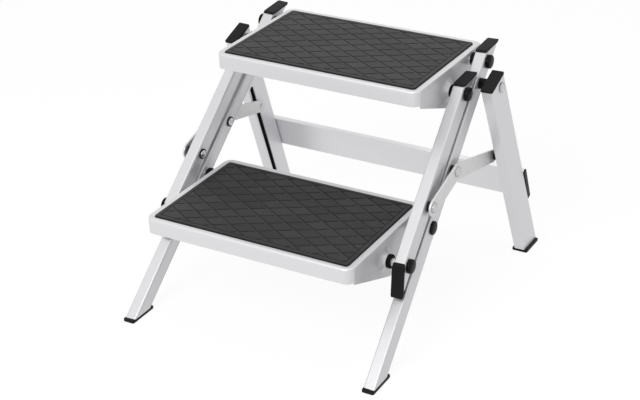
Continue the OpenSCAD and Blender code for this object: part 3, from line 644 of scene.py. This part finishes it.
STOP, STOP_HIGH = [(3.0, -9.6), (16.0, -9.6), (16.0, -0.3), (3.0, -0.3)], 12.0
for side, word in SIDES:
    rail = f"front_rail_{word}"
    for name, body, front, run, slope, lift in (
            ("leg_top", "front_frame", 0, LEG_TOP, TOP_SLOPE, TOP_LID),
            ("rail_top", rail, RAIL_FRONT, RAIL_TOP[side], TOP_SLOPE, TOP_LID),
            ("rail_end", rail, RAIL_FRONT, RAIL_END, -END_SLOPE, -END_LID)):
        part, caps = lid(LEG_DEPTH, front, run, slope, lift, on_front, side)
        parts = [part]
        if name == "rail_end":
            heel = RAIL_END - LEG_DEPTH * END_SLOPE - 2
            block = softened(np.array(STOP), [0, 0, 1.5, 1.5], 5)
            rows = [np.c_[block, np.full(len(block), heel + z)] for z in (0, STOP_HIGH)]
            block = on_front(np.stack(rows), side)
            parts.append((block, True))
            caps += [block[0], block[-1]]
        piece(f"{name}_lid_{word}", joined(f"{name}_skin_{word}", parts, caps), body, ribbed,
              [f"{name}_cap_{word}"])
    part, caps = lid(REAR_DEPTH, 0, REAR_TOP, 0, LID, on_rear, side)
    piece(f"rear_top_lid_{word}", joined(f"rear_top_skin_{word}", [part], caps), "rear_frame", ribbed,
          [f"rear_top_cap_{word}"])

# The feet.
# Black moulded soles pushed onto the tubes' ends, with a rolled upper edge; the
# rear ones are wider than their tubes.
SOLE_HIGH, REAR_SOLE_LIP = 5.0, 4.4
FRONT_SOLE, REAR_SOLE = (-270.0, -215.0), (REAR_TOE - 1.5, 270.0)


def sole(half, middle, front, rear, edge=1.3):
    """A sole: rings of a rounded rectangle that draw in by a quarter circle at the top and a little at the floor."""
    steps = [(0.5, 0.0), (0, 0.5), (0, SOLE_HIGH - edge)]
    for t in np.linspace(0, math.pi / 2, 6)[1:]:
        steps.append((edge * (1 - math.cos(t)), SOLE_HIGH - edge + edge * math.sin(t)))
    rows = []
    for inset, z in steps:
        loop = ring(half - inset, front + inset, rear - inset, 3.2 - inset, 12, 26, 8)
        rows.append(np.c_[loop[:, 0] + middle, loop[:, 1], np.full(len(loop), z)])
    grid = np.stack(rows)
    return (grid, True), [grid[0], grid[-1]]


for side, word in SIDES:
    for end, inner, lip, span in (("front", LEG_INNER, CAP_LIP, FRONT_SOLE),
                                  ("rear", REAR_INNER, REAR_SOLE_LIP, REAR_SOLE)):
        part, caps = sole(TUBE / 2 + lip, side * (inner + TUBE / 2), *span)
        piece(f"{end}_sole_{word}", joined(f"{end}_sole_skin_{word}", [part], caps), f"{end}_frame", black,
              [f"{end}_foot_{word}"])

# The treads' pivots.
# At each one a moulded black knob covers the bolt's end outside the tube, and a
# black disc and a silver sleeve on the bolt keep the tread off the tube. The
# lower leg's knobs are flat and its discs sit further out.
KNOB, LOW_KNOB, KNOB_R = 8.0, 4.4, 11.2
DISC_R, SLEEVE_R, SLEEVE_IN = 11.2, 6.9, 0.6


def leg_out(z):
    """Outer face of a front leg or rail at a height, in mm."""
    return LEG_INNER + TUBE - z * math.tan(LEG_SPLAY)


def leg_in(z):
    """Inner face of a front leg or rail at a height, in mm."""
    return LEG_INNER - z * math.tan(LEG_SPLAY)


def rear_in(z):
    """Inner face of a rear leg at a height, in mm."""
    return REAR_INNER - z * math.tan(REAR_SPLAY)


def rolled(x0, x1, r, a=0.8, b=0.8):
    """The profile of a disc from x0 to x1 whose rims are rounded by a and b."""
    turn = np.linspace(0, math.pi / 2, 6)
    first = [(x0 + a * (1 - math.sin(t)), r - a * (1 - math.cos(t))) for t in turn[::-1]]
    last = [(x1 - b * (1 - math.sin(t)), r - b * (1 - math.cos(t))) for t in turn]
    return first + last


def knob(point, high):
    """A knob's profile: a flat skirt, a rolled rim and a low dome over the end."""
    face = leg_out(point[1])
    dome = [(face + high - 1.1 * (r / KNOB_R) ** 2, r) for r in (8.5, 7, 5, 3, 0.5)]
    return [(face - 0.6, KNOB_R - 0.6)] + rolled(face + 0.9, face + high - 0.9, KNOB_R, 0.5, 1.8) + dome


gloss = finish_of("knob_black", (0.009, 0.008, 0.0085), roughness=0.22, grain_scale=1500, bump=0.12, spread=0.05,
                  tint=0.1, clouds=90, specular=0.07)
LOW_OUT = 6.0
groups = [("front_frame", "leg_pivot", "", (-1, 1), (LOWER_LEG, UPPER_LEG), 181.0, 6.0)]
groups += [(f"front_rail_{word}", "rail_pivot", f"_{word}", (side,), (LOWER_RAIL, UPPER_RAIL), 183.2, 6.4)
           for side, word in SIDES]
for body, stem, tail, which, points, disc_x, disc_thick in groups:
    knobs, discs, sleeves = [], [], []
    for side in which:
        for point in points:
            high, out, into = (LOW_KNOB, LOW_OUT, 0.1) if point is LOWER_LEG else (KNOB, 0.0, 1.0)
            knobs.append((side, point, knob(point, high)))
            discs.append((side, point, rolled(disc_x + out, disc_x + out + disc_thick, DISC_R, 0.9, 1.4)))
            sleeve = rolled(disc_x + into, leg_in(point[1]) + SLEEVE_IN, SLEEVE_R, 0.3, 0.3)
            sleeves.append((side, point, sleeve))
    for kind, items, material, slot in (("knob", knobs, gloss, "black_plastic"),
                                        ("disc", discs, gloss, "black_plastic"),
                                        ("sleeve", sleeves, steel, "steel")):
        piece(f"{stem}_{kind}_set{tail}", joined(f"{stem}_{kind}_skin{tail}", *turned(items)), body, material,
              [f"{stem}_{kind}s{tail}"])

# The links, their rivets and the rear legs' pivots.
# Bent flat bars of plated steel that lock the opened step, turning on domed
# rivets; a black bush rides before the slot of each rear leg.
SIDE_GAP = 0.3
LINK_X = leg_out(LOWER_LEG[1]) + LOW_KNOB + SIDE_GAP
LINK_THICK, LINK_HALF, LINK_END = 3.0, 14.2, 10.8
PIN_REACH, PIN_LEAD = 136.0, 21.8
SLIDE_PIN = REAR_PIVOT + np.array([PIN_REACH * math.sin(REAR_LEAN) - PIN_LEAD * math.cos(REAR_LEAN),
                                   -PIN_REACH * math.cos(REAR_LEAN) - PIN_LEAD * math.sin(REAR_LEAN)])
BOLT_R, HEAD_R, BUSH_R = 4.0, 9.0, 7.0
link_metal = finish_of("link_alloy", (0.78, 0.78, 0.78), metallic=0.55, roughness=0.40, grain=(1, 6, 1),
                       grain_scale=500, bump=0.15, spread=0.07, tint=0.12, clouds=110)


def flank(a, b, ra, rb):
    """The two straight flanks tangent to circles of radius ra and rb round a and b, as start and end points."""
    way = (b - a) / np.linalg.norm(b - a)
    tilt = math.asin((ra - rb) / np.linalg.norm(b - a))
    out = []
    for sign in (1, -1):
        normal = np.array([-way[1], way[0]]) * sign * math.cos(tilt) + way * math.sin(tilt)
        out.append((a + normal * ra, b + normal * rb))
    return out


def crossing(p, q, r, s):
    """Where the line through p and q meets the line through r and s."""
    share = np.linalg.solve(np.stack([q - p, r - s], -1), r - p)[0]
    return p + (q - p) * share


def arc_round(centre, radius, start, end, clockwise, count=14):
    """Points of an arc round a centre from one point's direction to another's."""
    a, b = math.atan2(*(start - centre)[::-1]), math.atan2(*(end - centre)[::-1])
    sweep = (b - a) % (2 * math.pi)
    if clockwise:
        sweep -= 2 * math.pi
    turn = a + np.linspace(0, 1, count) * sweep
    return centre + radius * np.stack([np.cos(turn), np.sin(turn)], -1)


upper_a, lower_a = flank(RAIL_LINK, LEG_LINK, LINK_HALF, LINK_HALF)
upper_b, lower_b = flank(LEG_LINK, SLIDE_PIN, LINK_HALF, LINK_END)
elbow = crossing(*lower_a, *lower_b)
link_outline = np.concatenate([
    arc_round(RAIL_LINK, LINK_HALF, lower_a[0], upper_a[0], True, 20),
    arc_round(LEG_LINK, LINK_HALF, upper_a[1], upper_b[0], True, 10),
    arc_round(SLIDE_PIN, LINK_END, upper_b[1], lower_b[1], True, 16), elbow[None]])


def domed(x, r, high):
    """A rivet head's profile: a flat rim, a groove pressed round it, then a low dome that ends in a flat spot."""
    turn = np.linspace(0.15, 1, 7)
    dome = [(x + high * math.sin(t * math.pi / 2), r * (0.16 + 0.56 * math.cos(t * math.pi / 2))) for t in turn]
    rim = [(x + 0.5 * high, r - 0.1), (x + 0.62 * high, r - 0.5), (x + 0.62 * high, 0.82 * r),
           (x + 0.12 * high, 0.76 * r)]
    return rim + dome + [(x + high, 0.4)]


rivets = {"front_frame": [], "front_rail_left": [], "front_rail_right": []}
for side, word in SIDES:
    x0, x1 = sorted((side * LINK_X, side * (LINK_X + LINK_THICK)))
    part, ends = plate(link_outline, x0, x1, 0.45)
    piece(f"link_bar_{word}", joined(f"link_skin_{word}", [part], ends), f"link_{word}", link_metal,
          [f"link_{word}"], sharp=40)
    bush = rolled(LINK_X + LINK_THICK, rear_in(SLIDE_PIN[1]) - 1.2, BUSH_R, 0.3, 0.8)
    bush = joined(f"slide_bush_skin_{word}", *turned([(side, SLIDE_PIN, bush)]))
    piece(f"slide_bush_ring_{word}", bush, f"link_{word}", gloss, [f"slide_bush_{word}"])
    top = LINK_X + LINK_THICK + SIDE_GAP
    for body, point in (("front_frame", LEG_LINK), (f"front_rail_{word}", RAIL_LINK)):
        inner = leg_in(point[1]) - 2.0
        tail = [(inner - 2, 0.4), (inner - 2, 4.5), (inner - 1, 6.3), (inner, 6.5), (inner, BOLT_R)]
        rivets[body].append((side, point, tail + [(top, BOLT_R), (top, HEAD_R)] + domed(top, HEAD_R, 2.2)))
for body, node in (("front_frame", "leg_link_rivets"), ("front_rail_left", "rail_link_rivet_left"),
                   ("front_rail_right", "rail_link_rivet_right")):
    piece(f"{node}_turned", joined(f"{node}_skin", *turned(rivets[body])), body, steel, [node])

heads, rings = [], []
for side in (-1, 1):
    height = REAR_PIVOT[1]
    inner, outer = leg_in(height) - 0.5, rear_in(height) + TUBE + 0.6
    tail = [(inner - 2.5, 0.4), (inner - 2.5, 5.4), (inner - 1.2, 7.2), (inner + 0.9, 7.5), (inner + 0.9, BOLT_R)]
    heads.append((side, REAR_PIVOT, tail + [(outer, BOLT_R), (outer, HEAD_R)] + domed(outer, HEAD_R, 2.4)))
    rings.append((side, REAR_PIVOT, rolled(leg_out(height) - 0.6, rear_in(height) - 0.6, HEAD_R, 0.2, 1.0)))
piece("rear_pivot_rivet_pair", joined("rear_pivot_rivet_skin", *turned(heads)), "front_frame", steel,
      ["rear_pivot_bolts"])
piece("rear_pivot_ring_pair", joined("rear_pivot_ring_skin", *turned(rings)), "front_frame", gloss,
      ["rear_pivot_spacers"])

# The slides inside the rear legs.
# A dark lining in each slot is painted shade: it stands for the dark inside of the slot.
SLOT_LOW, SLOT_HIGH, SLOT_MIDDLE = 36.0, 255.0, 8.5
CHANNEL = [(1.62, -6.2), (10, -6.2), (10, 6.2), (1.62, 6.2), (1.62, 5.2), (9.2, 5.2), (9.2, -5.2), (1.62, -5.2)]
# Its near-black colour is painted shade.
slot_shade_surface = finish_of("slot_painted_shade", (0.030, 0.029, 0.030), roughness=0.5, grain_scale=1500, bump=0.2, spread=0.07,
                    tint=0.15, clouds=60, specular=0.3)
for side, word in SIDES:
    rows = [np.c_[np.array(CHANNEL) + [0, SLOT_MIDDLE], np.full(len(CHANNEL), z)] for z in (SLOT_LOW, SLOT_HIGH)]
    grid = on_rear(np.stack(rows), side)
    piece(f"slot_liner_{word}", joined(f"slot_liner_skin_{word}", [(grid, True)], [grid[0], grid[-1]]), "rear_frame",
          slot_shade_surface, sharp=30)

# The floor, the light and the camera.
# A plain white studio: a pale floor that shows white and keeps a soft shadow,
# a bright surround and two large lamps, seen by a long lens.
FLOOR_HALF, FLOOR_AT = 12.0, -0.0005
WHITE = (1, 1, 1, 1)


def show(nodes, links, other, shown, surface):
    """Camera, glossy and transmission rays meet the shown shader, and all other rays meet the other one."""
    ray = nodes.new("ShaderNodeLightPath")
    which = ray.outputs["Is Camera Ray"]
    for kind in ("Is Glossy Ray", "Is Transmission Ray"):
        either = nodes.new("ShaderNodeMath")
        either.operation = "MAXIMUM"
        links.new(which, either.inputs[0])
        links.new(ray.outputs[kind], either.inputs[1])
        which = either.outputs[0]
    pick = nodes.new("ShaderNodeMixShader")
    links.new(which, pick.inputs["Fac"])
    links.new(other, pick.inputs[1])
    links.new(shown, pick.inputs[2])
    links.new(pick.outputs[0], surface)


floor_mesh = bpy.data.meshes.new("studio_floor")
floor_mesh.from_pydata([(x * FLOOR_HALF, y * FLOOR_HALF, FLOOR_AT) for x, y in ((-1, -1), (1, -1), (1, 1), (-1, 1))],
                       [], [(0, 1, 2, 3)])
floor = bpy.data.objects.new("studio_floor", floor_mesh)
bpy.context.scene.collection.objects.link(floor)
paint = bpy.data.materials.new("studio_white")
paint.use_nodes = True
nodes, links = paint.node_tree.nodes, paint.node_tree.links
nodes.remove(nodes["Principled BSDF"])
glow = nodes.new("ShaderNodeEmission")
glow.inputs["Color"].default_value = WHITE
glow.inputs["Strength"].default_value = 0.90
matte = nodes.new("ShaderNodeBsdfDiffuse")
matte.inputs["Color"].default_value = (0.14, 0.14, 0.14, 1)
bright = nodes.new("ShaderNodeAddShader")
links.new(glow.outputs[0], bright.inputs[0])
links.new(matte.outputs[0], bright.inputs[1])
pale = nodes.new("ShaderNodeBsdfDiffuse")
pale.inputs["Color"].default_value = (0.8, 0.8, 0.8, 1)
show(nodes, links, pale.outputs[0], bright.outputs[0], nodes["Material Output"].inputs["Surface"])
floor_mesh.materials.append(paint)

world = bpy.data.worlds.new("studio")
bpy.context.scene.world = world
world.use_nodes = True
nodes, links = world.node_tree.nodes, world.node_tree.links
nodes.clear()
surround, backdrop = nodes.new("ShaderNodeBackground"), nodes.new("ShaderNodeBackground")
for shade, strength in ((surround, 0.45), (backdrop, 1.0)):
    shade.inputs["Color"].default_value = WHITE
    shade.inputs["Strength"].default_value = strength
world_out = nodes.new("ShaderNodeOutputWorld")
show(nodes, links, surround.outputs[0], backdrop.outputs[0], world_out.inputs["Surface"])


def lamp(name, place, aim, size, power):
    """A square soft lamp at a place, facing a point."""
    light = bpy.data.lights.new(name, "AREA")
    light.size, light.energy = size, power
    thing = bpy.data.objects.new(name, light)
    bpy.context.scene.collection.objects.link(thing)
    back = np.array(place, float) - np.array(aim, float)
    back /= np.linalg.norm(back)
    side = np.cross((0, 0, 1), back)
    side /= np.linalg.norm(side)
    over = np.cross(back, side)
    thing.matrix_world = Matrix([[side[i], over[i], back[i], place[i]] for i in range(3)] + [[0, 0, 0, 1]])


lamp("front_softbox", (-0.1, -2.35, 1.95), (0, 0, 0.2), 1.6, 35)
lamp("top_softbox", (0.2, 0.3, 2.6), (0, 0, 0.2), 1.6, 8)

CAMERA_AT = (1.09237, -1.84847, 1.25976)
PICTURE_WIDE, PICTURE_HIGH, FOCAL = 640, 400, 1487.94
AIM_X, AIM_Y, SENSOR = 387.66, 145.89, 36.0
TURN, TILT, ROLL = math.radians(28.0), math.radians(25.44), math.radians(-0.608)
back = np.array([math.sin(TURN) * math.cos(TILT), -math.cos(TURN) * math.cos(TILT), math.sin(TILT)])
right = np.array([math.cos(TURN), math.sin(TURN), 0.0])
up = np.cross(back, right)
across_view = right * math.cos(ROLL) + up * math.sin(ROLL)
up_view = -right * math.sin(ROLL) + up * math.cos(ROLL)
lens = bpy.data.cameras.new("long_lens")
lens.sensor_width = SENSOR
lens.lens = FOCAL / PICTURE_WIDE * SENSOR
lens.shift_x = (PICTURE_WIDE / 2 - AIM_X) / PICTURE_WIDE
lens.shift_y = (AIM_Y - PICTURE_HIGH / 2) / PICTURE_WIDE
camera = bpy.data.objects.new("camera", lens)
bpy.context.scene.collection.objects.link(camera)
camera_rows = [[across_view[i], up_view[i], back[i], CAMERA_AT[i]] for i in range(3)]
camera.matrix_world = Matrix(camera_rows + [[0, 0, 0, 1]])
bpy.context.scene.camera = camera
bpy.context.scene.view_settings.view_transform = "Standard"
